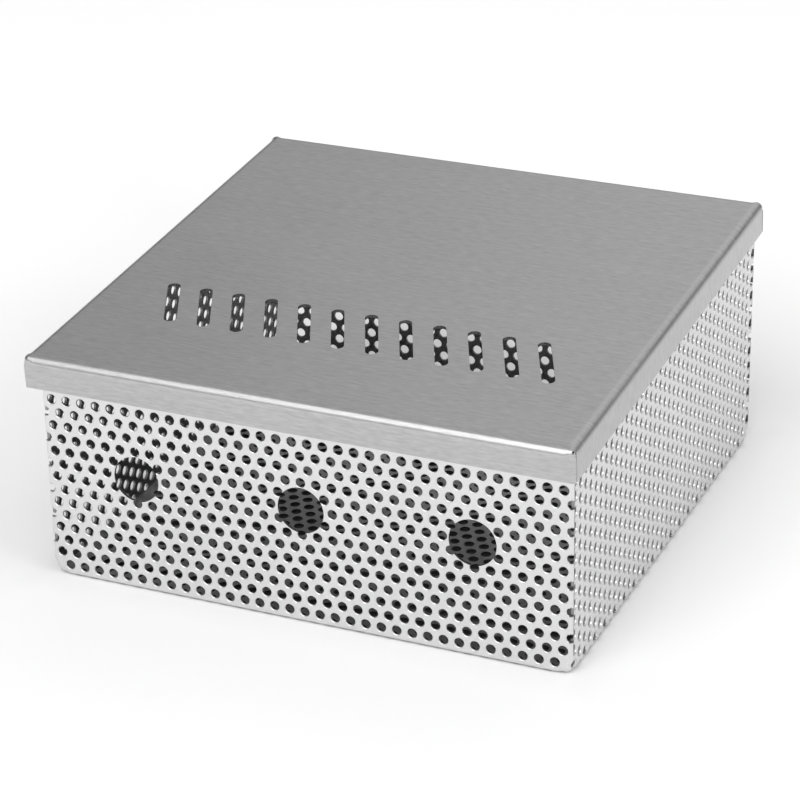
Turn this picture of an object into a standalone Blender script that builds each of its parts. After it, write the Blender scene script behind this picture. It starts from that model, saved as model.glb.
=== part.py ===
"""Square smoker box for a grill: a body folded from one perforated steel sheet, and a loose folded lid with vents.

Metres, +Z up. The origin is under the middle of the body's base, and the wall with the air holes faces -Y.
The lid lies as it does in use when it is left ajar: its underside on the front wall, its back flange on the back wall.
"""

import collections
import math

import bmesh
import bpy
from mathutils import Matrix, Vector

# Body
BODY_WIDTH = 0.171
BODY_DEPTH = 0.169
BODY_HEIGHT = 0.075
BODY_SHEET = 0.001
BODY_BEND_RADIUS = 0.002
BODY_UPRIGHT_RADIUS = 0.001
BODY_CORNER_RADIUS = 0.003
BODY_CORNER_FADE = 0.0025

# Upright seams, where a side wall or flange butts against the front or the back one
SEAM_GAP = 0.0003
SEAM_BITE = 0.0001
SEAM_FOOT = 0.0065

# Air holes in the front wall
AIR_HOLE_DIAMETER = 0.015
AIR_HOLE_SPACING = 0.0547
AIR_HOLE_HEIGHT = 0.038
AIR_HOLE_COUNT = 3
AIR_HOLE_SIDES = 24

# Perforation: the sheet's small hole, and the larger openings that each have the area of several of them
PERFORATION_HOLE = 0.003
PERFORATION_LAND = 0.0015
HOLES_PER_OPENING = 9
OPENINGS_PER_AIR_HOLE_SPACING = 4
OPENING_SIDES = 6

# Lid: its clearances are those round the body on each side and at each end when it lies centred
LID_SHEET = 0.001
LID_FLANGE = 0.0105
LID_SIDE_CLEARANCE = 0.0015
LID_END_CLEARANCE = 0.002
LID_BEND_RADIUS = 0.003
LID_UPRIGHT_RADIUS = 0.001
LID_CORNER_RADIUS = 0.003
LID_CORNER_FADE = 0.002
LID_RELIEF_DIAMETER = 0.0012

# Vent slots in the lid
SLOT_LENGTH = 0.026
SLOT_WIDTH = 0.004
SLOT_SPACING = 0.0112
SLOT_SLANT = math.radians(24)
SLOT_SETBACK = 0.047
SLOT_COUNT = 12
SLOT_END_SIDES = 6

# Clearances
SEAT_GAP = 0.0003
CUT_OVERRUN = 0.001
WELD_DISTANCE = 0.000001

LID_WIDTH = BODY_WIDTH + 2 * (LID_SIDE_CLEARANCE + LID_SHEET)
LID_DEPTH = BODY_DEPTH + 2 * (LID_END_CLEARANCE + LID_SHEET)

Form = collections.namedtuple("Form", "width depth height bend upright corner fade")
BODY_FORM = Form(
    BODY_WIDTH,
    BODY_DEPTH,
    BODY_HEIGHT,
    BODY_BEND_RADIUS,
    BODY_UPRIGHT_RADIUS,
    BODY_CORNER_RADIUS,
    BODY_CORNER_FADE,
)
LID_FORM = Form(
    LID_WIDTH,
    LID_DEPTH,
    LID_FLANGE,
    LID_BEND_RADIUS,
    LID_UPRIGHT_RADIUS,
    LID_CORNER_RADIUS,
    LID_CORNER_FADE,
)


def clear_scene():
    for obj in list(bpy.data.objects):
        bpy.data.objects.remove(obj)


def steel(name, grey, roughness):
    material = bpy.data.materials.new(name)
    material.use_nodes = True
    shader = material.node_tree.nodes["Principled BSDF"]
    shader.inputs["Base Color"].default_value = (grey, grey, grey, 1)
    shader.inputs["Metallic"].default_value = 1
    shader.inputs["Roughness"].default_value = roughness
    return material


def object_of(name, shape, material=None):
    """A linked object from a bmesh, which is freed."""
    bmesh.ops.recalc_face_normals(shape, faces=shape.faces)
    mesh = bpy.data.meshes.new(name)
    shape.to_mesh(mesh)
    shape.free()
    obj = bpy.data.objects.new(name, mesh)
    bpy.context.scene.collection.objects.link(obj)
    if material:
        mesh.materials.append(material)
    return obj


def cut(obj, name, shape):
    """Takes a bmesh out of an object, with a hidden cutter that follows the object."""
    cutter = object_of(name, shape)
    cutter.parent = obj
    cutter.hide_render = True
    cutter.display_type = "WIRE"
    boolean = obj.modifiers.new(name, "BOOLEAN")
    boolean.object = cutter
    boolean.operation = "DIFFERENCE"
    boolean.solver = "EXACT"


# Folded trays
def clamp(value, limit):
    return max(-limit, min(limit, value))


def edge_radius(point, form):
    """The outer radius of the nearest edge, which grows into the corner's radius near a bottom corner."""
    from_sides = sorted((form.width / 2 - abs(point.x), form.depth / 2 - abs(point.y)))
    radius = form.bend if point.z < from_sides[1] else form.upright
    beyond = max(from_sides[1], point.z) - form.corner
    share = min(max(1 - beyond / form.fade, 0), 1)
    eased_share = share * share * (3 - 2 * share)
    return radius + (form.corner - radius) * eased_share


def both_faces(point, form, sheet):
    """A point of the sharp box as it lies on the folded sheet's outer and inner faces."""
    radius = edge_radius(point, form)
    centre = Vector(
        (
            clamp(point.x, form.width / 2 - radius),
            clamp(point.y, form.depth / 2 - radius),
            max(point.z, radius),
        )
    )
    outward = (point - centre).normalized()
    return centre + outward * radius, centre + outward * (radius - sheet)


def sharp_tray(form):
    """A box without its top, on Z 0, with edge loops where its bends and corners begin."""
    shape = bmesh.new()
    add_box(
        shape,
        (-form.width / 2, -form.depth / 2, 0),
        (form.width / 2, form.depth / 2, form.height),
    )
    for inset in sorted({form.upright, form.bend, form.corner, form.corner + form.fade}):
        planes = [((0, 0, inset), (0, 0, 1))]
        for side in (-1, 1):
            planes.append(((side * (form.width / 2 - inset), 0, 0), (1, 0, 0)))
            planes.append(((0, side * (form.depth / 2 - inset), 0), (0, 1, 0)))
        for place, normal in planes:
            geometry = shape.verts[:] + shape.edges[:] + shape.faces[:]
            bmesh.ops.bisect_plane(shape, geom=geometry, plane_co=place, plane_no=normal)
    top = [face for face in shape.faces if face.normal.z > 0.5]
    bmesh.ops.delete(shape, geom=top, context="FACES")
    return shape


def folded_sheet(name, form, sheet, material):
    """A tray with a floor, four walls, round bends and ball corners, all one sheet thick."""
    surface = sharp_tray(form)
    shape = bmesh.new()
    outer, inner = {}, {}
    for vertex in surface.verts:
        points = both_faces(vertex.co, form, sheet)
        outer[vertex], inner[vertex] = (shape.verts.new(point) for point in points)
    for face in surface.faces:
        shape.faces.new([outer[vertex] for vertex in face.verts])
        shape.faces.new([inner[vertex] for vertex in reversed(face.verts)])
    for edge in surface.edges:
        if edge.is_boundary:
            one, other = edge.verts
            shape.faces.new((outer[one], outer[other], inner[other], inner[one]))
    surface.free()
    bmesh.ops.remove_doubles(shape, verts=shape.verts, dist=WELD_DISTANCE)
    bmesh.ops.triangulate(shape, faces=shape.faces)
    return object_of(name, shape, material)


def add_box(shape, low, high):
    low, high = Vector(low), Vector(high)
    size = Matrix.Diagonal((*(high - low), 1))
    bmesh.ops.create_cube(shape, matrix=Matrix.Translation((low + high) / 2) @ size)


def add_seam_slits(shape, form, sheet, foot):
    """A slit in each end of both side walls, which just bites into the front and the back wall's inner face."""
    outer, inner = form.width / 2 + CUT_OVERRUN, form.width / 2 - sheet - CUT_OVERRUN
    near = form.depth / 2 - sheet
    for side in (-1, 1):
        for end in (-1, 1):
            xs = sorted((side * inner, side * outer))
            ys = sorted((end * (near - SEAM_GAP), end * (near + SEAM_BITE)))
            add_box(shape, (xs[0], ys[0], foot), (xs[1], ys[1], form.height + CUT_OVERRUN))


# Perforation
def opening_diameter():
    """The width across corners of an opening with the area of the small holes that it stands for."""
    area = HOLES_PER_OPENING * math.pi * (PERFORATION_HOLE / 2) ** 2
    unit_area = OPENING_SIDES / 2 * math.sin(2 * math.pi / OPENING_SIDES)
    return 2 * math.sqrt(area / unit_area)


def staggered(length, height, pitch, first_row=0):
    """Centres of a staggered hole pattern in a field of this size, in rows along its length.

    Even rows, counted from first_row, have an opening in the middle.
    """
    spacing = pitch * math.sqrt(3) / 2
    rows = int(height / spacing)
    centres = []
    for row in range(rows + 1):
        odd = (row + first_row) % 2
        offset = odd * pitch / 2
        across = int((length / 2 - offset) / pitch)
        for step in range(-across - odd, across + 1):
            centres.append((offset + step * pitch, (row - rows / 2) * spacing))
    return centres


def add_prism(shape, frame, diameter, depth, sides):
    """A prism along its frame's Z, which crosses a sheet of this depth with an overrun on each side."""
    bmesh.ops.create_cone(
        shape,
        cap_ends=True,
        segments=sides,
        radius1=diameter / 2,
        radius2=diameter / 2,
        depth=depth + 2 * CUT_OVERRUN,
        matrix=frame,
    )


def air_hole_places():
    middle = (AIR_HOLE_COUNT - 1) / 2
    return [((index - middle) * AIR_HOLE_SPACING, AIR_HOLE_HEIGHT) for index in range(AIR_HOLE_COUNT)]


def clear_of_air_holes(x, z, opening):
    reach = (AIR_HOLE_DIAMETER + opening) / 2
    return all(math.dist((x, z), place) > reach for place in air_hole_places())


def add_perforation(shape):
    """The openings of the base and the four walls, each standing for a patch of the sheet's small holes."""
    pitch = AIR_HOLE_SPACING / OPENINGS_PER_AIR_HOLE_SPACING
    opening = opening_diameter()
    margin = BODY_BEND_RADIUS + PERFORATION_LAND + opening / 2
    wide, deep, tall = (size - 2 * margin for size in (BODY_WIDTH, BODY_DEPTH, BODY_HEIGHT))
    mid_sheet = BODY_SHEET / 2
    to_front = Matrix.Rotation(math.radians(90), 4, "X")
    to_side = Matrix.Rotation(math.radians(90), 4, "Y")
    frames = [Matrix.Translation((x, y, mid_sheet)) for x, y in staggered(wide, deep, pitch, first_row=1)]
    for x, rise in staggered(wide, tall, pitch):
        z, wall = AIR_HOLE_HEIGHT + rise, BODY_DEPTH / 2 - mid_sheet
        frames.append(Matrix.Translation((x, wall, z)) @ to_front)
        if clear_of_air_holes(x, z, opening):
            frames.append(Matrix.Translation((x, -wall, z)) @ to_front)
    for rise, y in staggered(tall, deep, pitch):
        z, wall = AIR_HOLE_HEIGHT + rise, BODY_WIDTH / 2 - mid_sheet
        frames.append(Matrix.Translation((wall, y, z)) @ to_side)
        frames.append(Matrix.Translation((-wall, y, z)) @ to_side)
    for frame in frames:
        add_prism(shape, frame, opening, BODY_SHEET, OPENING_SIDES)


def add_air_holes(shape):
    to_front = Matrix.Rotation(math.radians(90), 4, "X")
    for x, z in air_hole_places():
        frame = Matrix.Translation((x, (BODY_SHEET - BODY_DEPTH) / 2, z)) @ to_front
        add_prism(shape, frame, AIR_HOLE_DIAMETER, BODY_SHEET, AIR_HOLE_SIDES)


def make_body():
    body = folded_sheet("perforated_body", BODY_FORM, BODY_SHEET, steel("perforated_steel", 0.8, 0.3))
    openings = bmesh.new()
    add_perforation(openings)
    add_air_holes(openings)
    add_seam_slits(openings, BODY_FORM, BODY_SHEET, SEAM_FOOT)
    cut(body, "body_openings", openings)


# Lid
def add_slot(shape, centre):
    """A slanted slot with round ends through the lid's top sheet, which lies between Z 0 and the sheet."""
    half = (SLOT_LENGTH - SLOT_WIDTH) / 2
    outline = []
    for end in (-1, 1):
        for step in range(SLOT_END_SIDES + 1):
            turn = math.pi * step / SLOT_END_SIDES - (math.pi if end < 0 else 0)
            x, y = (SLOT_WIDTH / 2 * part for part in (math.cos(turn), math.sin(turn)))
            outline.append(Vector((x, y + end * half, -CUT_OVERRUN)))
    place = Matrix.Translation(centre) @ Matrix.Rotation(-SLOT_SLANT, 4, "Z")
    base = shape.faces.new([shape.verts.new(place @ point) for point in outline])
    prism = bmesh.ops.extrude_face_region(shape, geom=[base])["geom"]
    raised = [item for item in prism if isinstance(item, bmesh.types.BMVert)]
    bmesh.ops.translate(shape, vec=(0, 0, LID_SHEET + 2 * CUT_OVERRUN), verts=raised)


def add_lid_reliefs(shape):
    """A small hole through each top corner, where the bends of two flanges meet."""
    for side in (-1, 1):
        for end in (-1, 1):
            outward = Vector((side, end, -1)).normalized()
            reach = LID_CORNER_RADIUS
            core = Vector((side * (LID_WIDTH / 2 - reach), end * (LID_DEPTH / 2 - reach), reach))
            middle = core + outward * (LID_CORNER_RADIUS - LID_SHEET / 2)
            frame = Matrix.Translation(middle) @ outward.to_track_quat("Z", "Y").to_matrix().to_4x4()
            add_prism(shape, frame, LID_RELIEF_DIAMETER, LID_SHEET, OPENING_SIDES)


def lid_rest():
    """The lid's tilt, and the place of its underside's front edge.

    The back flange stands on the middle of the back wall's rim, and the underside lies on the front wall.
    """
    rise = LID_FLANGE - LID_SHEET
    span = BODY_DEPTH - BODY_SHEET / 2
    tilt = math.asin(rise / span)
    ahead = LID_DEPTH - LID_SHEET - math.sqrt(span * span - rise * rise)
    rim = BODY_HEIGHT + SEAT_GAP
    front = Vector((0, -BODY_DEPTH / 2 - ahead * math.cos(tilt), rim - ahead * math.sin(tilt)))
    return tilt, front


def make_lid():
    """The lid is made upside down, turned over, and then laid on the walls."""
    lid = folded_sheet("lid", LID_FORM, LID_SHEET, steel("brushed_steel", 0.62, 0.34))
    openings = bmesh.new()
    for index in range(SLOT_COUNT):
        x = (index - (SLOT_COUNT - 1) / 2) * SLOT_SPACING
        add_slot(openings, (x, LID_DEPTH / 2 - SLOT_SETBACK, 0))
    add_seam_slits(openings, LID_FORM, LID_SHEET, LID_BEND_RADIUS)
    add_lid_reliefs(openings)
    cut(lid, "lid_openings", openings)
    tilt, front = lid_rest()
    lift = bpy.data.objects.new("lid_lift", None)
    lift.location = front
    bpy.context.scene.collection.objects.link(lift)
    lid.parent = lift
    turned_over = Matrix.Translation((0, LID_DEPTH / 2, LID_SHEET)) @ Matrix.Rotation(math.pi, 4, "X")
    lid.matrix_local = Matrix.Rotation(tilt, 4, "X") @ turned_over


clear_scene()
make_body()
make_lid()
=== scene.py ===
"""The looks of a grill smoker box: a body folded from perforated steel, and a loose lid of brushed steel.

Lengths are in metres, in the frame's own coordinates. Each sheet starts as flat panels on a box with sharp
edges, where its holes are cut. Then its bends are rounded and it gets its thickness.
"""

import collections
import math

import bmesh
import bpy
from mathutils import Matrix, Vector
from mathutils.geometry import delaunay_2d_cdt


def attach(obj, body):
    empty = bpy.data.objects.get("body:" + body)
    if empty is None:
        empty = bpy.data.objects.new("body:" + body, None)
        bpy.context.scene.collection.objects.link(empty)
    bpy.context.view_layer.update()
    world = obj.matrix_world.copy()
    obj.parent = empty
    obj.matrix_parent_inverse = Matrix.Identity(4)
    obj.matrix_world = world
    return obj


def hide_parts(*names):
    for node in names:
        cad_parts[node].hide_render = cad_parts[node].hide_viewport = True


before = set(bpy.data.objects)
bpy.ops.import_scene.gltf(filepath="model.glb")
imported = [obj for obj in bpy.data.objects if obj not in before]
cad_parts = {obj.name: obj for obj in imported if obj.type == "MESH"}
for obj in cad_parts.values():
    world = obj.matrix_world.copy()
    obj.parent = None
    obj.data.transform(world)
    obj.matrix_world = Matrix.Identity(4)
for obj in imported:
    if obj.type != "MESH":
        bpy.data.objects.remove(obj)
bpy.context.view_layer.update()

# The sheets' thickness, and the open seams beside the side walls
SHEET = 0.001
SEAM_GAP = 0.0003
# Points of two panels that are closer than this become one
WELD = 0.000002
TRIANGULATION_TOLERANCE = 0.00000001

# Body
BODY_WIDTH, BODY_DEPTH, BODY_HEIGHT = 0.171, 0.169, 0.075

# Perforation: round holes in staggered rows
PITCH = 0.005
ROW_STEP = PITCH * math.sqrt(3) / 2
HOLE_RADIUS = 0.0015
HOLE_SIDES = 12
FRONT_HOLE_SIDES = 16
# How far an even row's nearest hole lies from the middle
EVEN_ROW_START = 0.0001
# The lowest row of the front and back wall, and how far below the rim the highest has to lie
FRONT_ROW_FOOT = 0.00374
TOP_ROW_LAND = HOLE_RADIUS / 3
# The base's first row, from its front edge, and the bare sheet at its rows' ends
BASE_ROW_SETBACK = 0.0022
BASE_SIDE_LAND = 0.0025
# The lowest hole of the even and of the odd columns of each side wall
RIGHT_COLUMN_FEET = (0.003, 0.0005)
LEFT_COLUMN_FEET = (0.0042, 0.0017)

# Rolled edges of the holes: how far each reaches from its hole, and the least and the most that it leans in
ROLL = 0.0006
FRONT_ROLL = 0.00035
SIDE_ROLL = 0.00045
ROLL_TURNS = (0.9, 3.0)
SIDE_TURNS = (1.0, 1.6)
# The share of its reach over which a side wall's roll leans in fully
ROLL_SHOULDER = 0.8
# How much larger a hole's radius is on the inner face, where the punch breaks out
BREAK_OUT = 0.0002
# How fast the lean changes from one line of holes to the next, in radians per row
PUNCH_WEAR = 2.4

# Air holes
AIR_HOLE_RADIUS = 0.0075
AIR_HOLE_SPACING = 0.0547
AIR_HOLE_HEIGHT = 0.038
AIR_HOLE_SIDES = 48

# Lid
LID_WIDTH, LID_DEPTH, LID_FLANGE = 0.176, 0.175, 0.0105
# The radius of the round cuts at its corners
RELIEF_REACH = 0.0008
RELIEF_STEPS = 4
SLOT_LENGTH, SLOT_WIDTH = 0.026, 0.004
SLOT_SPACING = 0.0112
SLOT_SLANT = math.radians(24)
# From the lid's front edge to the middle of its slots
SLOT_SETBACK = 0.047
SLOT_COUNT = 12
SLOT_END_SIDES = 12
SEAT_GAP = 0.0003

# A tray's form. Its outer radii are those of the bend at the foot, of the upright edges and of the bottom
# corners. A corner's radius fades into the edges over the length fade. The seams start at the height foot.
Form = collections.namedtuple("Form", "width depth height bend upright corner fade foot")
BODY_FORM = Form(
    width=BODY_WIDTH,
    depth=BODY_DEPTH,
    height=BODY_HEIGHT,
    bend=0.002,
    upright=0.001,
    corner=0.003,
    fade=0.0025,
    foot=0.0065,
)
LID_FORM = Form(
    width=LID_WIDTH,
    depth=LID_DEPTH,
    height=LID_FLANGE,
    bend=0.003,
    upright=0.001,
    corner=0.002,
    fade=0.0015,
    foot=0.0009,
)
BEND_STEPS = 5
UPRIGHT_STEPS = 3
CORNER_STEPS = 8
# Above 1, the steps lie closer together near the corner's tip
CORNER_CROWDING = 1.3
# Where a cut edge turns more than this, it shows as sharp
SMOOTH_ANGLE = math.radians(30)

# Sizes of the squares that the flat patterns are laid out in, and the space between a pattern's two faces
WALL_CHART = 0.19
BASE_CHART = 0.37
LID_CHART = 0.42
CHART_SPACE = 0.004

# Steel: the greys and roughnesses that its clouds range over, and noise cells per metre. Where there are
# three, they are those along each axis.
BODY_GREY = (0.71, 0.75)
BODY_ROUGHNESS = (0.36, 0.42)
BODY_CLOUDS = 38.0
BODY_SPECKS = 2400.0
BODY_GRAIN = (260.0, 260.0, 2600.0)
LID_GREY = (0.475, 0.505)
LID_ROUGHNESS = (0.3, 0.36)
LID_ANISOTROPY = 0.75
LID_CLOUDS = 26.0
LID_LINES = (34.0, 3600.0, 1.0)
LID_FLECKS = (230.0, 1300.0, 1.0)
LID_BANDS = (9.0, 520.0, 1.0)
# How far a noise moves the grey or the roughness to either side
GRAIN_IN_GREY, SPECKS_IN_GREY, GRAIN_IN_ROUGHNESS = 0.02, 0.012, 0.03
BANDS_IN_GREY, LINES_IN_GREY, FLECKS_IN_GREY, LINES_IN_ROUGHNESS = 0.012, 0.03, 0.05, 0.04
# Heights of the bumps in metres, and how strongly they show
BODY_BUMPS = (0.00002, 0.25)
LID_BUMPS = (0.00003, 0.35)
# The part of a noise's range that most of its values lie in
NOISE_MIDDLE = (0.3, 0.7)
# The share of its brightness that a face with full painted shade keeps, and how much painted shade the
# sheet's cut edges get. Inner faces and cut edges are painted darker to stand in for the shade inside the
# closed box and in its holes.
PAINTED_SHADE_SHARE = 0.34
EDGE_PAINTED_SHADE = 0.8

# Floor
FLOOR_HALF = 6.0
FLOOR_DROP = 0.0001
FLOOR_GREY = (0.895, 0.905)
FLOOR_CLOUDS = 6.0
FLOOR_ROUGHNESS = 0.9
FLOOR_SHEEN = 0.1
# The floor is painted darker under the box, a painted shadow: the share of its brightness that it keeps
# there, and the distances over which that ends
SHADE_SHARE = 0.12
SHADE_SPAN = (0.079, 0.084)
# How much the floor's glow gains over each span of distances from its middle, so that it shows as white
FLOOR_GLOW = {(0.083, 0.1): 0.05, (0.1, 0.3): 0.12, (0.8, 5.0): 0.25}

# Sky: each has a span of a direction's x, y or z, and the brightness at the span's two ends. The right and
# the front are changes to what the left gives, and the horizon is at least as bright as its own.
SKY_LEFT = ((-0.62, -0.22), (0.27, 0.88))
SKY_RIGHT = ((0.2, 0.7), (0.0, -0.35))
SKY_FRONT = ((-0.95, -0.4), (0.12, 0.0))
SKY_HORIZON = ((0.03, 0.13), (1.0, 0.0))
# The dark zone is full where it is both low and not in front, and keeps this share of the sky's brightness
DARK_LOW = ((0.3, 0.41), (1.0, 0.0))
DARK_BEHIND = ((-0.85, -0.6), (0.0, 1.0))
DARK_SHARE = 0.24

# Square lamps that face the frame's origin, with their power in watts
Softbox = collections.namedtuple("Softbox", "name place size power")
SOFTBOXES = (
    Softbox("key", Vector((-0.05, -1.75, 1.8)), size=2.1, power=31.0),
    Softbox("fill", Vector((2.0, -0.5, 1.4)), size=1.2, power=13.2),
)

# Camera: a long lens. The lens and the sensor are in millimetres.
CAMERA_PLACE = Vector((0.3440, -0.7847, 0.4433))
CAMERA_FORWARD = Vector((-0.3670, 0.8256, -0.4287))
CAMERA_RIGHT = Vector((0.9170, 0.3985, -0.0177))
CAMERA_LENS = 134.1
CAMERA_SENSOR = 36.0
CAMERA_NEAR, CAMERA_FAR = 0.05, 50.0

# A flat face, with two directions in space and its place in the flat pattern
Panel = collections.namedtuple("Panel", "origin along up chart chart_along chart_up")
# A ring of points round a hole, how far its normals lean inward, and how deep it lies under the flat face
Ring = collections.namedtuple("Ring", "loop turn drop", defaults=(0, 0))
# A cut's outline as a ring, and the rings of its rolled edge
Cut = collections.namedtuple("Cut", "rim collars", defaults=((),))


# Flat geometry
def clamp(value, limit):
    return max(-limit, min(limit, value))


def polygon(centre, radius, sides):
    """The corners of a regular polygon, which starts half a step off the first axis."""
    turns = [2 * math.pi * (index + 0.5) / sides for index in range(sides)]
    return [(centre[0] + radius * math.cos(turn), centre[1] + radius * math.sin(turn)) for turn in turns]


def counterclockwise(loop):
    """The loop, turned round where it runs the other way."""
    turns = [one[0] * other[1] - one[1] * other[0] for one, other in zip(loop, loop[1:] + loop[:1])]
    return loop if sum(turns) > 0 else loop[::-1]


def bend_stations(radius, steps):
    """Distances from a sharp edge at which the lines of a round bend lie, evenly spaced in angle."""
    return [radius * (1 - math.tan(math.pi / 4 * step / steps)) for step in range(steps)]


def flat_place(panel, point):
    """Where a point of the sharp box lies in the flat pattern."""
    offset = point - panel.origin
    return panel.chart + panel.chart_along * offset.dot(panel.along) + panel.chart_up * offset.dot(panel.up)


# Folded sheets
def edge_radius(point, form):
    """The outer radius of the nearest edge, which grows into the corner's radius near a bottom corner."""
    from_sides = sorted((form.width / 2 - abs(point.x), form.depth / 2 - abs(point.y)))
    radius = form.bend if point.z < from_sides[1] else form.upright
    beyond = max(from_sides[1], point.z) - form.corner
    share = min(max(1 - beyond / form.fade, 0), 1)
    eased_share = share * share * (3 - 2 * share)
    return radius + (form.corner - radius) * eased_share


def both_faces(point, form):
    """Where a point of the sharp box lies on the sheet's outer and inner faces, and the way outward."""
    radius = edge_radius(point, form)
    centre = Vector(
        (
            clamp(point.x, form.width / 2 - radius),
            clamp(point.y, form.depth / 2 - radius),
            max(point.z, radius),
        )
    )
    outward = (point - centre).normalized()
    return centre + outward * radius, centre + outward * (radius - SHEET), outward


def panels_of(form):
    """The five flat faces of a tray.

    Their flat pattern is the sheet as it was before it was bent, so that its grain runs on round the bends.
    """
    half_width, half_depth = form.width / 2, form.depth / 2
    x, y, z = Vector((1, 0, 0)), Vector((0, 1, 0)), Vector((0, 0, 1))
    u, v = Vector((1, 0)), Vector((0, 1))
    return {
        "base": Panel(Vector((0, 0, 0)), x, -y, Vector((0, 0)), u, v),
        "front": Panel(-y * half_depth, x, z, v * half_depth, u, v),
        "back": Panel(y * half_depth, -x, z, -v * half_depth, -u, -v),
        "right": Panel(x * half_width, y, z, u * half_width, -v, u),
        "left": Panel(-x * half_width, -y, z, -u * half_width, v, -u),
    }


class Skin:
    """A folded sheet's faces, with how much painted shade each gets, and their corners' places in the chart
    and normals.
    """

    def __init__(self):
        self.faces, self.uvs, self.normals, self.painted_shade = [], [], [], []

    def add(self, corners, uvs, normals, painted_shade):
        self.faces.append(corners)
        self.uvs += uvs
        self.normals += normals
        self.painted_shade.append(painted_shade)

    def make_object(self, name, places, material):
        mesh = bpy.data.meshes.new(name)
        mesh.from_pydata(places, [], self.faces)
        uv_map = mesh.uv_layers.new(name="OFBake")
        uv_map.data.foreach_set("uv", [part for uv in self.uvs for part in uv])
        # The inside attribute holds each face's painted shade: darker inner faces and cut edges stand in
        # for shade.
        inside = mesh.attributes.new("inside", "FLOAT", "FACE")
        inside.data.foreach_set("value", self.painted_shade)
        mesh.shade_smooth()
        mesh.normals_split_custom_set(self.normals)
        mesh.materials.append(material)
        sheet = bpy.data.objects.new(name, mesh)
        bpy.context.scene.collection.objects.link(sheet)
        return sheet


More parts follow.
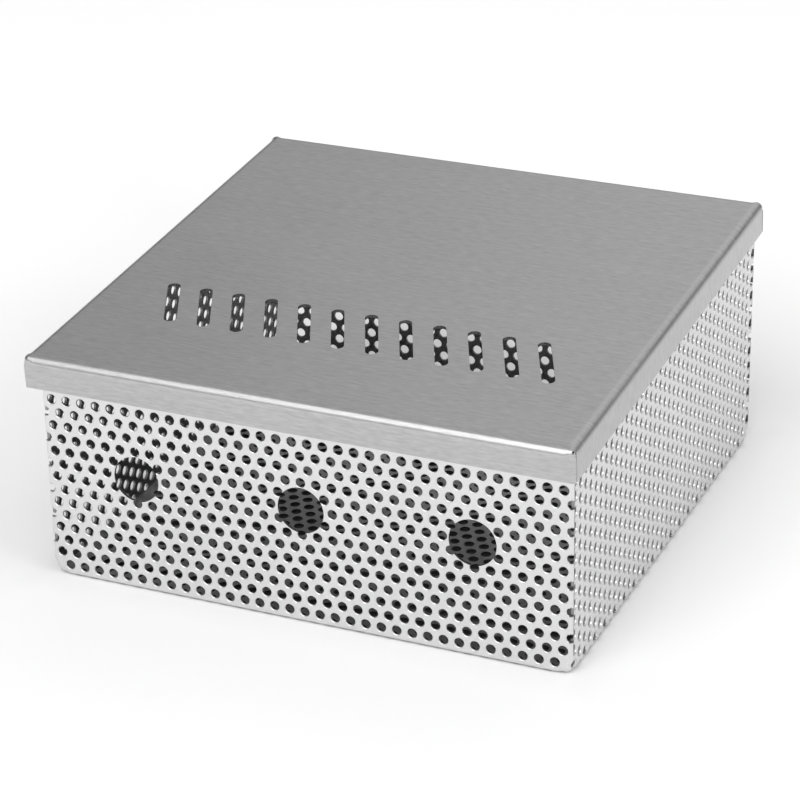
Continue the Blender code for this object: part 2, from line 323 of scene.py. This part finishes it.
class Surface:
    """A tray's panels as a surface on the sharp box, which then becomes one closed, folded sheet."""

    def __init__(self, form):
        self.form = form
        self.panels = panels_of(form)
        self.used = []
        self.mesh = bmesh.new()
        self.leans = self.mesh.verts.layers.float_vector.new("lean")
        self.drops = self.mesh.verts.layers.float.new("drop")
        self.reach = form.corner + form.fade
        shares = [index / CORNER_STEPS for index in range(CORNER_STEPS + 1)]
        steps = [self.reach * share ** CORNER_CROWDING for share in shares]
        steps += bend_stations(form.bend, BEND_STEPS)
        steps += bend_stations(form.upright, UPRIGHT_STEPS)
        self.steps = sorted([*steps, form.foot])

    def foot_points(self, half_length):
        """A grid of points near both corners of a wall's foot."""
        return [(side * (half_length - s), t) for side in (-1, 1) for s in self.steps for t in self.steps]

    def wall_lines(self, half_length, uprights):
        """The lines of a wall's bottom bend and, where asked, of its rounded upright edges."""
        lines = []
        run = half_length - self.reach
        for station in bend_stations(self.form.bend, BEND_STEPS):
            lines.append(((-run, station), (run, station)))
        if uprights:
            for station in bend_stations(self.form.upright, UPRIGHT_STEPS):
                for side in (-1, 1):
                    s = side * (half_length - station)
                    lines.append(((s, self.reach), (s, self.form.height)))
        return lines

    def add(self, panel, outline, cuts, lines=(), points=()):
        """Adds a panel with these cuts, as triangles on the sharp box."""
        spots, edges, faces, rolls = [], [], [], {}
        for rim, collars in [Cut(Ring(outline)), *cuts]:
            centre = sum((Vector(spot) for spot in rim.loop), Vector((0, 0))) / len(rim.loop)
            for loop, turn, drop in [rim, *collars]:
                indices = list(range(len(spots), len(spots) + len(loop)))
                spots.extend(Vector(spot) for spot in counterclockwise(loop))
                if loop is rim.loop:
                    faces.append(indices)
                else:
                    edges += zip(indices, indices[1:] + indices[:1])
                if turn:
                    for index in indices:
                        inward = (centre - spots[index]).normalized() * turn
                        rolls[index] = (panel.along * inward.x + panel.up * inward.y, drop)
        for line in lines:
            edges.append((len(spots), len(spots) + 1))
            spots.extend(Vector(spot) for spot in line)
        spots.extend(Vector(spot) for spot in points)
        self.add_triangles(panel, delaunay_2d_cdt(spots, edges, faces, 0, TRIANGULATION_TOLERANCE), rolls)

    def add_triangles(self, panel, found, rolls):
        """Keeps those of the triangles found that lie in the outline, which is face 0, and in no cut."""
        corners, triangles, origins, sources = found[0], found[2], found[3], found[5]
        made = {}
        for triangle, source in zip(triangles, sources):
            if list(source) != [0]:
                continue
            for index in triangle:
                if index not in made:
                    s, t = corners[index]
                    made[index] = self.mesh.verts.new(panel.origin + panel.along * s + panel.up * t)
                    for origin in origins[index]:
                        if origin in rolls:
                            made[index][self.leans], made[index][self.drops] = rolls[origin]
            face = self.mesh.faces.new([made[index] for index in triangle])
            face.material_index = len(self.used)
        self.used.append(panel)

    def add_wall(self, name, cuts):
        """The front or the back wall with its full width, or the lid's flange there."""
        half, height = self.form.width / 2, self.form.height
        outline = [(-half, 0), (half, 0), (half, height), (-half, height)]
        self.add(self.panels[name], outline, cuts, self.wall_lines(half, True), self.foot_points(half))

    def add_side(self, name, cuts):
        """A side wall, which stands between the front and the back wall above its corner feet."""
        foot, height = self.form.foot, self.form.height
        half, inner = self.form.depth / 2, self.form.depth / 2 - SHEET - SEAM_GAP
        outline = [(-half, 0), (half, 0), (half, foot), (inner, foot)]
        outline += [(inner, height), (-inner, height), (-inner, foot), (-half, foot)]
        points = [point for point in self.foot_points(half) if abs(point[0]) <= inner or point[1] <= foot]
        self.add(self.panels[name], outline, cuts, self.wall_lines(half, False), points)

    def add_base(self, cuts):
        half_width, half_depth = self.form.width / 2, self.form.depth / 2
        outline = [(-half_width, -half_depth), (half_width, -half_depth)]
        outline += [(half_width, half_depth), (-half_width, half_depth)]
        points, lines = [], []
        for s in self.steps:
            for t in self.steps:
                for side in (-1, 1):
                    points.append((side * (half_width - s), half_depth - t))
                    points.append((side * (half_width - s), t - half_depth))
        run, rise = half_width - self.reach, half_depth - self.reach
        for station in bend_stations(self.form.bend, BEND_STEPS):
            for side in (-1, 1):
                s, t = side * (half_width - station), side * (half_depth - station)
                lines.append(((s, -rise), (s, rise)))
                lines.append(((-run, t), (run, t)))
        self.add(self.panels["base"], outline, cuts, lines, points)

    def add_wall_end(self, name, side, spans):
        """The end of the front or back wall, which shows beside a side wall as one sheet's thickness.

        side is the sign of the wall's own direction in which this end lies, and spans are the heights over
        which a hole cuts it.
        """
        form, wall = self.form, self.panels[name]
        flank = self.panels["right" if (side > 0) == (name == "front") else "left"]
        beyond = wall.chart_along * side * (form.width / 2 + form.depth / 2)
        chart = wall.chart + beyond
        panel = Panel(flank.origin, flank.along, flank.up, chart, wall.chart_along, wall.chart_up)
        edge = -side * form.depth / 2
        low, high = sorted((edge, edge + side * SHEET))
        outline = [(low, form.foot), (high, form.foot), (high, form.height), (low, form.height)]
        cuts = []
        before, after = low - SHEET, high + SHEET
        for bottom, top in spans:
            cuts.append(Cut(Ring([(before, bottom), (after, bottom), (after, top), (before, top)])))
        lines = []
        for station in bend_stations(form.upright, UPRIGHT_STEPS)[1:]:
            s = edge + side * station
            lines.append(((s, self.reach), (s, form.height)))
        steps = [step for step in self.steps if step <= SHEET]
        heights = [step for step in self.steps if step >= form.foot]
        points = [(edge + side * step, height) for step in steps for height in heights]
        self.add(panel, outline, cuts, lines, points)

    def edge_normals(self):
        """The way off the metal at each vertex of the sheet's edges, in the flat pattern and in space."""
        flat = collections.defaultdict(lambda: Vector((0, 0)))
        spatial = collections.defaultdict(lambda: Vector((0, 0, 0)))
        for edge in self.mesh.edges:
            if not edge.is_boundary:
                continue
            face = edge.link_faces[0]
            panel = self.used[face.material_index]
            one, other = (flat_place(panel, vertex.co) for vertex in edge.verts)
            across = (other - one).orthogonal().normalized()
            middle = sum((flat_place(panel, vertex.co) for vertex in face.verts), Vector((0, 0))) / 3
            if across.dot(middle - one) > 0:
                across.negate()
            away = panel.along * across.dot(panel.chart_along) + panel.up * across.dot(panel.chart_up)
            for vertex in edge.verts:
                flat[vertex] += across
                spatial[vertex] += away
        return flat, spatial

    def pattern_shift(self):
        """The flat pattern's middle, and how far each of its two faces lies from the chart's middle."""
        flats = []
        for face in self.mesh.faces:
            panel = self.used[face.material_index]
            flats += [flat_place(panel, vertex.co) for vertex in face.verts]
        low = Vector((min(flat.x for flat in flats), min(flat.y for flat in flats)))
        high = Vector((max(flat.x for flat in flats), max(flat.y for flat in flats)))
        size = high - low
        shift = Vector((0, size.y)) if size.x > size.y else Vector((size.x, 0))
        return (low + high) / 2, (shift + shift.normalized() * CHART_SPACE) / 2

    def fold(self, name, chart_size, material, paint_shade_inside=True):
        """Rounds the bends, gives the sheet its thickness, and lays out its flat pattern.

        A vertex's outer point has an even number, and its inner point the number after that.
        """
        bmesh.ops.remove_doubles(self.mesh, verts=self.mesh.verts, dist=WELD)
        flat_away, away = self.edge_normals()
        middle, shift = self.pattern_shift()
        to_outer = Vector((0.5, 0.5)) - (middle + shift) / chart_size
        to_inner = Vector((0.5, 0.5)) - (middle - shift) / chart_size
        numbers, places, outwards, facings = self.folded_points(away)
        # Inner faces are painted darker, a painted shade for the dark inside of the closed box.
        inner_painted_shade = 1.0 if paint_shade_inside else 0.0
        skin = Skin()
        for face in self.mesh.faces:
            panel = self.used[face.material_index]
            flats = [flat_place(panel, vertex.co) / chart_size for vertex in face.verts]
            corners = [numbers[vertex] for vertex in face.verts]
            normals = [facings.get(corner, outwards[corner // 2]) for corner in corners]
            skin.add(corners, [flat + to_outer for flat in flats], normals, 0.0)
            backs = [corner + 1 for corner in reversed(corners)]
            normals = [-outwards[corner // 2] for corner in backs]
            skin.add(backs, [flat + to_inner for flat in reversed(flats)], normals, inner_painted_shade)
        for edge in self.mesh.edges:
            if not edge.is_boundary:
                continue
            loop = edge.link_loops[0]
            ends = (loop.link_loop_next.vert, loop.vert)
            panel = self.used[loop.face.material_index]
            rims = [flat_place(panel, vertex.co) for vertex in ends]
            backs = [rim + flat_away[vertex].normalized() * SHEET / 2 for rim, vertex in zip(rims, ends)]
            corners = [numbers[ends[0]], numbers[ends[1]]]
            corners += [corners[1] + 1, corners[0] + 1]
            uvs = [flat / chart_size + to_outer for flat in (rims[0], rims[1], backs[1], backs[0])]
            sides = [away[vertex].normalized() for vertex in (ends[0], ends[1], ends[1], ends[0])]
            # Cut edges are painted darker, a painted shade for the shaded walls of the holes.
            skin.add(corners, uvs, self.cut_normals(corners, places, sides, facings), EDGE_PAINTED_SHADE)
        self.mesh.free()
        return skin.make_object(name, places, material)

    def folded_points(self, away):
        """Each vertex as two points of the folded sheet, the outer and the inner one.

        The result is each vertex's number, the points, the ways outward, and the normals of rolled edges.
        """
        numbers, places, outwards, facings = {}, [], [], {}
        for vertex in self.mesh.verts:
            outer, inner, outward = both_faces(vertex.co, self.form)
            numbers[vertex] = len(places)
            lean = vertex[self.leans]
            if lean.length:
                facings[len(places)] = (outward + lean).normalized()
                outer = outer - outward * vertex[self.drops]
                if vertex in away:
                    inner = inner - away[vertex].normalized() * BREAK_OUT
            places += [outer, inner]
            outwards.append(outward)
        return numbers, places, outwards, facings

    @staticmethod
    def cut_normals(corners, places, sides, facings):
        """The normals of a face of the sheet's cut edge, which looks smooth where it runs round a hole."""
        across = (places[corners[1]] - places[corners[0]]).cross(places[corners[3]] - places[corners[0]])
        across.normalize()
        normals = []
        for side, corner in zip(sides, corners):
            sharp = side.angle(across, math.pi) > SMOOTH_ANGLE
            normals.append(facings.get(corner, across if sharp else side))
        return normals


# Hole patterns
def row_of_holes(row, half_length):
    """A row's holes along X, with those that an edge cuts. Odd rows lie half a pitch further."""
    start = EVEN_ROW_START + (PITCH / 2 if row % 2 else 0)
    count = int(half_length / PITCH) + 2
    places = [start + PITCH * index for index in range(-count, count + 1)]
    return [x for x in places if abs(x) < half_length + HOLE_RADIUS]


def wall_holes():
    """The holes of the front wall as (x, z), which those of the back wall repeat."""
    holes = []
    z, row = FRONT_ROW_FOOT, 0
    while z < BODY_HEIGHT - TOP_ROW_LAND:
        for x in row_of_holes(row, BODY_WIDTH / 2):
            at_edge = abs(x) > BODY_WIDTH / 2 - HOLE_RADIUS
            if not (at_edge and z < BODY_FORM.foot + HOLE_RADIUS):
                holes.append((x, z))
        z += ROW_STEP
        row += 1
    return holes


def column_places():
    """Where the side walls' columns and the base's rows lie, along Y."""
    count = round((BODY_DEPTH - 2 * BASE_ROW_SETBACK) / ROW_STEP) + 1
    return [BASE_ROW_SETBACK - BODY_DEPTH / 2 + ROW_STEP * index for index in range(count)]


def side_holes(feet):
    """The holes of a side wall as (y, z)."""
    holes = []
    for index, y in enumerate(column_places()):
        z = feet[index % 2]
        while z < BODY_HEIGHT + HOLE_RADIUS:
            holes.append((y, z))
            z += PITCH
    return holes


def base_holes():
    """The holes of the base as (x, y). Every second row ends in one that runs over the right bend."""
    holes = []
    for index, y in enumerate(column_places()):
        for x in row_of_holes(index + 1, BODY_WIDTH / 2):
            if abs(x) < BODY_WIDTH / 2 - HOLE_RADIUS - BASE_SIDE_LAND:
                holes.append((x, y))
        if index % 2:
            holes.append((BODY_WIDTH / 2 + RIGHT_COLUMN_FEET[1], y))
    return holes


def circles(places, sign, sides, line=0, roll=ROLL, turns=ROLL_TURNS, shoulder=False):
    """Round holes with rolled edges. One punch makes those whose coordinate number line is the same."""
    cuts = []
    for place in places:
        centre = (sign * place[0], place[1])
        share = math.sin(place[line] / ROW_STEP * PUNCH_WEAR) ** 2
        turn = turns[0] + (turns[1] - turns[0]) * share
        collars = [Ring(polygon(centre, HOLE_RADIUS + roll, sides))]
        if shoulder:
            reach = roll * ROLL_SHOULDER
            collars.append(Ring(polygon(centre, HOLE_RADIUS + reach, sides), turn, roll - reach))
        cuts.append(Cut(Ring(polygon(centre, HOLE_RADIUS, sides), turn, roll), collars))
    return cuts


def cut_spans(places, edge, sides):
    """The heights over which the holes cut a wall's end."""
    spans = []
    for place in places:
        corners = polygon(place, HOLE_RADIUS, sides)
        heights = []
        for one, other in zip(corners, corners[1:] + corners[:1]):
            if (one[0] - edge) * (other[0] - edge) < 0:
                share = (edge - one[0]) / (other[0] - one[0])
                heights.append(one[1] + share * (other[1] - one[1]))
        if len(heights) == 2:
            spans.append(sorted(heights))
    return spans


# Body
def make_end_wall(name, material):
    """The front or the back wall, with its ends. Only the front wall has air holes."""
    front = name == "front"
    sides = FRONT_HOLE_SIDES if front else HOLE_SIDES
    turned = 1 if front else -1
    places = wall_holes()
    cuts = circles(places, turned, sides, 1, FRONT_ROLL if front else ROLL)
    if front:
        for index in (-1, 0, 1):
            centre = (index * AIR_HOLE_SPACING, AIR_HOLE_HEIGHT)
            cuts.append(Cut(Ring(polygon(centre, AIR_HOLE_RADIUS, AIR_HOLE_SIDES))))
    surface = Surface(BODY_FORM)
    surface.add_wall(name, cuts)
    for side in (-1, 1):
        surface.add_wall_end(name, side, cut_spans(places, side * turned * BODY_WIDTH / 2, sides))
    return surface.fold("body_" + name, WALL_CHART, material)


def make_side_wall(name, material):
    right = name == "right"
    feet = RIGHT_COLUMN_FEET if right else LEFT_COLUMN_FEET
    surface = Surface(BODY_FORM)
    cuts = circles(side_holes(feet), 1 if right else -1, HOLE_SIDES, 0, SIDE_ROLL, SIDE_TURNS, True)
    surface.add_side(name, cuts)
    return surface.fold("body_" + name, WALL_CHART, material)


def make_base(material):
    """The base. Its inner face shows through the air holes, and it gets no painted shade."""
    surface = Surface(BODY_FORM)
    surface.add_base(circles([(x, -y) for x, y in base_holes()], 1, HOLE_SIDES, 1))
    return surface.fold("body_base", BASE_CHART, material, paint_shade_inside=False)


def make_body(material):
    pieces = [make_end_wall(name, material) for name in ("front", "back")]
    pieces += [make_side_wall(name, material) for name in ("right", "left")]
    pieces.append(make_base(material))
    for piece in pieces:
        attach(piece, "body")
        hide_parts("perforated_body")


# Lid
def relief(corner, ways):
    """A round cut over a panel's corner. ways are the signs of the ways inward."""
    loop = [(-RELIEF_REACH, RELIEF_REACH), (-RELIEF_REACH, -RELIEF_REACH), (RELIEF_REACH, -RELIEF_REACH)]
    for step in range(RELIEF_STEPS + 1):
        turn = math.pi / 2 * step / RELIEF_STEPS
        loop.append((RELIEF_REACH * math.cos(turn), RELIEF_REACH * math.sin(turn)))
    return Cut(Ring([(corner[0] + ways[0] * s, corner[1] + ways[1] * t) for s, t in loop]))


def slot_outline(x, y):
    """A slanted slot with round ends, as a loop of points in the lid's top."""
    half = (SLOT_LENGTH - SLOT_WIDTH) / 2
    loop = []
    for end in (-1, 1):
        for step in range(SLOT_END_SIDES + 1):
            turn = math.pi * step / SLOT_END_SIDES - (math.pi if end < 0 else 0)
            across = SLOT_WIDTH / 2 * math.cos(turn)
            along = SLOT_WIDTH / 2 * math.sin(turn) + end * half
            place = Matrix.Rotation(-SLOT_SLANT, 2) @ Vector((across, along))
            loop.append((x + place.x, y + place.y))
    return loop


def lid_rest():
    """The lid's tilt, and the place of its underside's front edge, as the frame has them."""
    rise = LID_FLANGE - SHEET
    span = BODY_DEPTH - SHEET / 2
    tilt = math.asin(rise / span)
    ahead = LID_DEPTH - SHEET - math.sqrt(span * span - rise * rise)
    rim = BODY_HEIGHT + SEAT_GAP
    return tilt, Vector((0, -BODY_DEPTH / 2 - ahead * math.cos(tilt), rim - ahead * math.sin(tilt)))


def make_lid(material):
    """The lid is made upside down, turned over, and laid on the walls as the frame has it."""
    half_width, half_depth = LID_WIDTH / 2, LID_DEPTH / 2
    cuts = []
    for index in range(SLOT_COUNT):
        x = (index - (SLOT_COUNT - 1) / 2) * SLOT_SPACING
        cuts.append(Cut(Ring([(s, -t) for s, t in slot_outline(x, half_depth - SLOT_SETBACK)])))
    for side in (-1, 1):
        for end in (-1, 1):
            cuts.append(relief((side * half_width, end * half_depth), (-side, -end)))
    surface = Surface(LID_FORM)
    surface.add_base(cuts)
    for name in ("front", "back"):
        surface.add_wall(name, [relief((side * half_width, 0), (-side, 1)) for side in (-1, 1)])
        for side in (-1, 1):
            surface.add_wall_end(name, side, [])
    for name in ("left", "right"):
        surface.add_side(name, [relief((side * half_depth, 0), (-side, 1)) for side in (-1, 1)])
    sheet = surface.fold("lid_sheet", LID_CHART, material)
    tilt, front = lid_rest()
    turned_over = Matrix.Translation((0, half_depth, SHEET)) @ Matrix.Rotation(math.pi, 4, "X")
    sheet.data.transform(Matrix.Translation(front) @ Matrix.Rotation(tilt, 4, "X") @ turned_over)
    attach(sheet, "lid")
    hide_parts("lid")


# Materials
class Nodes:
    """The node tree of a new material or world, with short calls for the nodes used here."""

    def __init__(self, owner):
        owner.use_nodes = True
        self.tree = owner.node_tree

    def add(self, kind, **inputs):
        node = self.tree.nodes.new(kind)
        for name, value in inputs.items():
            self.feed(node, name, value)
        return node

    def feed(self, node, name, value):
        """Links an output to a node's input, or sets the input to a plain value."""
        socket = node.inputs[name]
        if isinstance(value, bpy.types.NodeSocket):
            self.tree.links.new(value, socket)
        else:
            socket.default_value = value

    def calculated(self, operation, one, other):
        node = self.add("ShaderNodeMath")
        node.operation = operation
        self.feed(node, 0, one)
        self.feed(node, 1, other)
        return node.outputs[0]

    def sum(self, *values):
        total = values[0]
        for value in values[1:]:
            total = self.calculated("ADD", total, value)
        return total

    def product(self, one, other):
        return self.calculated("MULTIPLY", one, other)

    def larger(self, one, other):
        return self.calculated("MAXIMUM", one, other)

    def mapped(self, value, ends, targets, interpolation="SMOOTHSTEP"):
        """Maps a value between two ends to two targets, which it doesn't pass."""
        node = self.add("ShaderNodeMapRange", Value=value)
        node.interpolation_type = interpolation
        for name, amount in zip(("From Min", "From Max", "To Min", "To Max"), (*ends, *targets)):
            node.inputs[name].default_value = amount
        return node.outputs["Result"]

    def spread(self, noise, targets):
        """Maps the middle of a noise's range to two targets."""
        return self.mapped(noise, NOISE_MIDDLE, targets, "LINEAR")

    def swing(self, noise, amount):
        """A noise as a change to either side of nothing."""
        return self.spread(noise, (-amount, amount))

    def noise(self, source, scale=1.0, detail=2.0, roughness=0.5):
        inputs = {"Vector": source, "Scale": scale, "Detail": detail, "Roughness": roughness}
        return self.add("ShaderNodeTexNoise", **inputs).outputs["Fac"]

    def stretched(self, source, scale):
        """Coordinates scaled by a different amount along each axis."""
        return self.add("ShaderNodeMapping", Vector=source, Scale=scale).outputs["Vector"]

    def place(self):
        return self.add("ShaderNodeTexCoord").outputs["Object"]

    def square_distance(self, source):
        """The larger of a place's distances from the middle along X and along Y."""
        absolute = self.add("ShaderNodeVectorMath")
        absolute.operation = "ABSOLUTE"
        self.feed(absolute, 0, source)
        apart = self.add("ShaderNodeSeparateXYZ", Vector=absolute.outputs[0]).outputs
        return self.larger(apart["X"], apart["Y"])

    def with_painted_shade(self, value):
        """The value, of which a face with full painted shade keeps only a share."""
        attribute = self.add("ShaderNodeAttribute")
        attribute.attribute_name = "inside"
        return self.product(value, self.mapped(attribute.outputs["Fac"], (0.0, 1.0), (1.0, PAINTED_SHADE_SHARE)))

    def grey(self, value):
        return self.add("ShaderNodeCombineColor", Red=value, Green=value, Blue=value).outputs["Color"]

    def bump(self, height, distance, strength):
        node = self.add("ShaderNodeBump", Height=height, Distance=distance, Strength=strength)
        return node.outputs["Normal"]


def perforated_steel():
    """Satin stainless sheet: a fine mill grain, faint cloudiness, and small specks."""
    material = bpy.data.materials.new("perforated_steel")
    nodes = Nodes(material)
    shader = nodes.tree.nodes["Principled BSDF"]
    place = nodes.place()
    clouds = nodes.noise(place, BODY_CLOUDS, detail=3.0)
    grain = nodes.noise(nodes.stretched(place, BODY_GRAIN))
    specks = nodes.noise(place, BODY_SPECKS, detail=1.0)
    value = nodes.sum(
        nodes.spread(clouds, BODY_GREY),
        nodes.swing(grain, GRAIN_IN_GREY),
        nodes.swing(specks, SPECKS_IN_GREY),
    )
    roughness = nodes.sum(nodes.spread(clouds, BODY_ROUGHNESS), nodes.swing(grain, GRAIN_IN_ROUGHNESS))
    # The base colour is darkened on inner faces and cut edges: painted shade.
    nodes.feed(shader, "Base Color", nodes.grey(nodes.with_painted_shade(value)))
    nodes.feed(shader, "Roughness", roughness)
    nodes.feed(shader, "Normal", nodes.bump(nodes.sum(grain, specks), *BODY_BUMPS))
    nodes.feed(shader, "Metallic", 1.0)
    return material


def brushed_steel():
    """Stainless sheet brushed along the pattern's length: fine lines, short flecks, bands and clouds."""
    material = bpy.data.materials.new("brushed_steel")
    nodes = Nodes(material)
    shader = nodes.tree.nodes["Principled BSDF"]
    uv_map = nodes.add("ShaderNodeUVMap")
    uv_map.uv_map = "OFBake"
    metres = nodes.stretched(uv_map.outputs["UV"], (LID_CHART, LID_CHART, LID_CHART))
    lines = nodes.noise(nodes.stretched(metres, LID_LINES), detail=3.0, roughness=0.6)
    flecks = nodes.noise(nodes.stretched(metres, LID_FLECKS), roughness=0.6)
    bands = nodes.noise(nodes.stretched(metres, LID_BANDS))
    clouds = nodes.noise(metres, LID_CLOUDS, detail=3.0)
    value = nodes.sum(
        nodes.spread(clouds, LID_GREY),
        nodes.swing(bands, BANDS_IN_GREY),
        nodes.swing(lines, LINES_IN_GREY),
        nodes.swing(flecks, FLECKS_IN_GREY),
    )
    roughness = nodes.sum(nodes.spread(clouds, LID_ROUGHNESS), nodes.swing(lines, LINES_IN_ROUGHNESS))
    # The base colour is darkened on inner faces and cut edges: painted shade.
    nodes.feed(shader, "Base Color", nodes.grey(nodes.with_painted_shade(value)))
    nodes.feed(shader, "Roughness", roughness)
    nodes.feed(shader, "Normal", nodes.bump(lines, *LID_BUMPS))
    tangent = nodes.add("ShaderNodeTangent")
    tangent.direction_type = "UV_MAP"
    tangent.uv_map = "OFBake"
    nodes.feed(shader, "Tangent", tangent.outputs["Tangent"])
    nodes.feed(shader, "Anisotropic", LID_ANISOTROPY)
    nodes.feed(shader, "Metallic", 1.0)
    return material


# Studio
def floor_material():
    """Matt and pale, with a painted shadow under the box, and a glow that only shows and lights nothing."""
    material = bpy.data.materials.new("studio_floor")
    nodes = Nodes(material)
    shader = nodes.tree.nodes["Principled BSDF"]
    place = nodes.place()
    distance = nodes.square_distance(place)
    pale = nodes.spread(nodes.noise(place, FLOOR_CLOUDS), FLOOR_GREY)
    # Painted shadow: the floor's colour is darker under the box.
    shade = nodes.mapped(distance, SHADE_SPAN, (SHADE_SHARE, 1.0))
    nodes.feed(shader, "Base Color", nodes.grey(nodes.product(pale, shade)))
    nodes.feed(shader, "Roughness", FLOOR_ROUGHNESS)
    nodes.feed(shader, "Specular IOR Level", FLOOR_SHEEN)
    nodes.feed(shader, "Emission Color", (1.0, 1.0, 1.0, 1.0))
    path = nodes.add("ShaderNodeLightPath").outputs
    rays = nodes.sum(path["Is Camera Ray"], path["Is Glossy Ray"], path["Is Transmission Ray"])
    seen = nodes.mapped(rays, (0.0, 1.0), (0.0, 1.0))
    glow = nodes.sum(*(nodes.mapped(distance, span, (0.0, gain)) for span, gain in FLOOR_GLOW.items()))
    nodes.feed(shader, "Emission Strength", nodes.product(glow, seen))
    return material


def make_floor():
    mesh = bpy.data.meshes.new("studio_floor")
    sides = ((-1, -1), (1, -1), (1, 1), (-1, 1))
    corners = [(x * FLOOR_HALF, y * FLOOR_HALF, -FLOOR_DROP) for x, y in sides]
    mesh.from_pydata(corners, [], [(0, 1, 2, 3)])
    mesh.materials.append(floor_material())
    floor = bpy.data.objects.new("studio_floor", mesh)
    bpy.context.scene.collection.objects.link(floor)


def make_world():
    """A pale room, brightest in front and dimmer at the sides.

    It is dark low down except in front, and its horizon is white.
    """
    world = bpy.data.worlds.new("studio")
    bpy.context.scene.world = world
    nodes = Nodes(world)
    direction = nodes.add("ShaderNodeTexCoord").outputs["Generated"]
    parts = nodes.add("ShaderNodeSeparateXYZ", Vector=direction).outputs
    x, y, z = (parts[name] for name in "XYZ")
    sky = nodes.sum(nodes.mapped(x, *SKY_LEFT), nodes.mapped(x, *SKY_RIGHT), nodes.mapped(y, *SKY_FRONT))
    dark = nodes.product(nodes.mapped(z, *DARK_LOW), nodes.mapped(y, *DARK_BEHIND))
    room = nodes.product(sky, nodes.mapped(dark, (0.0, 1.0), (1.0, DARK_SHARE)))
    background = nodes.tree.nodes["Background"]
    nodes.feed(background, "Color", nodes.larger(room, nodes.mapped(z, *SKY_HORIZON)))
    nodes.feed(background, "Strength", 1.0)


def make_lamps():
    for softbox in SOFTBOXES:
        light = bpy.data.lights.new(softbox.name, "AREA")
        light.shape = "SQUARE"
        light.size = softbox.size
        light.energy = softbox.power
        lamp = bpy.data.objects.new(softbox.name, light)
        lamp.location = softbox.place
        lamp.rotation_mode = "QUATERNION"
        lamp.rotation_quaternion = (-softbox.place).to_track_quat("-Z", "Y")
        bpy.context.scene.collection.objects.link(lamp)


def make_camera():
    """The photograph's view: from the front and the right, and from above."""
    forward = CAMERA_FORWARD.normalized()
    up = CAMERA_RIGHT.normalized().cross(forward).normalized()
    right = forward.cross(up)
    data = bpy.data.cameras.new("camera")
    data.lens = CAMERA_LENS
    data.sensor_width = CAMERA_SENSOR
    data.clip_start = CAMERA_NEAR
    data.clip_end = CAMERA_FAR
    camera = bpy.data.objects.new("camera", data)
    turn = Matrix((right, up, -forward)).transposed().to_4x4()
    camera.matrix_world = Matrix.Translation(CAMERA_PLACE) @ turn
    bpy.context.scene.collection.objects.link(camera)
    bpy.context.scene.camera = camera


make_body(perforated_steel())
make_lid(brushed_steel())
make_floor()
make_world()
make_lamps()
make_camera()
bpy.context.scene.view_settings.view_transform = "Standard"
